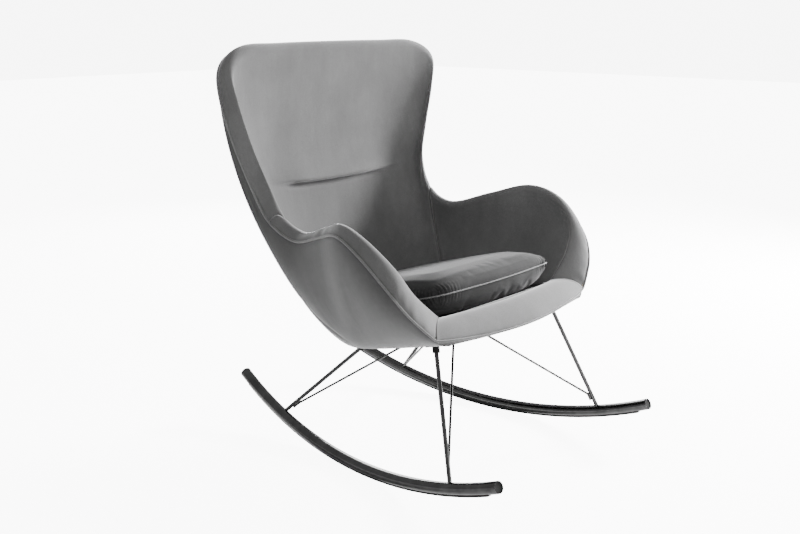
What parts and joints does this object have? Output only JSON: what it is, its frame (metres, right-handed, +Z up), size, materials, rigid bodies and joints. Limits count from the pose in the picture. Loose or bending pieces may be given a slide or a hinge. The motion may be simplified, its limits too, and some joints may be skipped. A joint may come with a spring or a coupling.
{
  "type": "rocking chair",
  "caption": "Upholstered wing-back rocking chair with a loose seat cushion, on rod legs and bent tube runners.",
  "frame": {"origin": "on the floor, at the centre of the chair's footprint box, which is also where the runners touch the floor in the rest attitude", "axes": "+Z up; the chair faces -Y; +X is the sitter's left; symmetric about X = 0"},
  "size_m": [0.8056, 0.957, 0.9999],
  "materials": {
    "dark_chrome": "dark polished nickel plate",
    "strip_rubber": "matt black",
    "black_plastic": "moulded, matt",
    "black_steel": "satin black powder coat",
    "zinc_steel": "bright zinc plate",
    "lining_fabric": "thin black non-woven",
    "plywood": "raw birch plywood",
    "deck_cloth": "grey lining cloth",
    "foam": "open-cell upholstery foam",
    "velvet": "mid-grey short-pile velvet",
    "velvet_outer": "mid-grey short-pile velvet, outer cover"
  },
  "bodies": {
    "chair": {"left_runner": "dark_chrome", "right_runner": "dark_chrome", "left_strip": "strip_rubber", "right_strip": "strip_rubber", "front_left_plug": "black_plastic", "front_right_plug": "black_plastic", "rear_left_plug": "black_plastic", "rear_right_plug": "black_plastic", "front_left_leg": "dark_chrome", "front_right_leg": "dark_chrome", "rear_left_leg": "dark_chrome", "rear_right_leg": "dark_chrome", "front_left_brace": "dark_chrome", "front_right_brace": "dark_chrome", "rear_left_brace": "dark_chrome", "rear_right_brace": "dark_chrome", "front_left_plate": "black_steel", "front_right_plate": "black_steel", "rear_left_plate": "black_steel", "rear_right_plate": "black_steel", "centre_plate": "black_steel", "front_left_collar": "black_plastic", "front_right_collar": "black_plastic", "rear_left_collar": "black_plastic", "rear_right_collar": "black_plastic", "plate_bolts": "black_steel", "tee_nuts": "zinc_steel", "underside_lining": "lining_fabric", "seat_board": "plywood", "deck_pad": "deck_cloth", "back_panel": "plywood", "left_side_panel": "plywood", "right_side_panel": "plywood", "outer_cover": "velvet_outer", "upper_back_foam": "foam", "lower_back_foam": "foam", "left_arm_foam": "foam", "right_arm_foam": "foam", "upper_back_cover": "velvet", "lower_back_cover": "velvet", "left_arm_cover": "velvet", "right_arm_cover": "velvet", "rail_panel": "plywood", "rail_foam": "foam", "rail_cover": "velvet", "welt_cord": "velvet_outer"},
    "cushion": {"cushion_foam": "foam", "cushion_top_cover": "velvet", "cushion_bottom_cover": "velvet"}
  },
  "joints": [
    {"name": "cushion_lift", "type": "slide", "parent": "chair", "child": "cushion", "axis": [0, 0, 1], "range_m": [0, 0.25]}
  ]
}
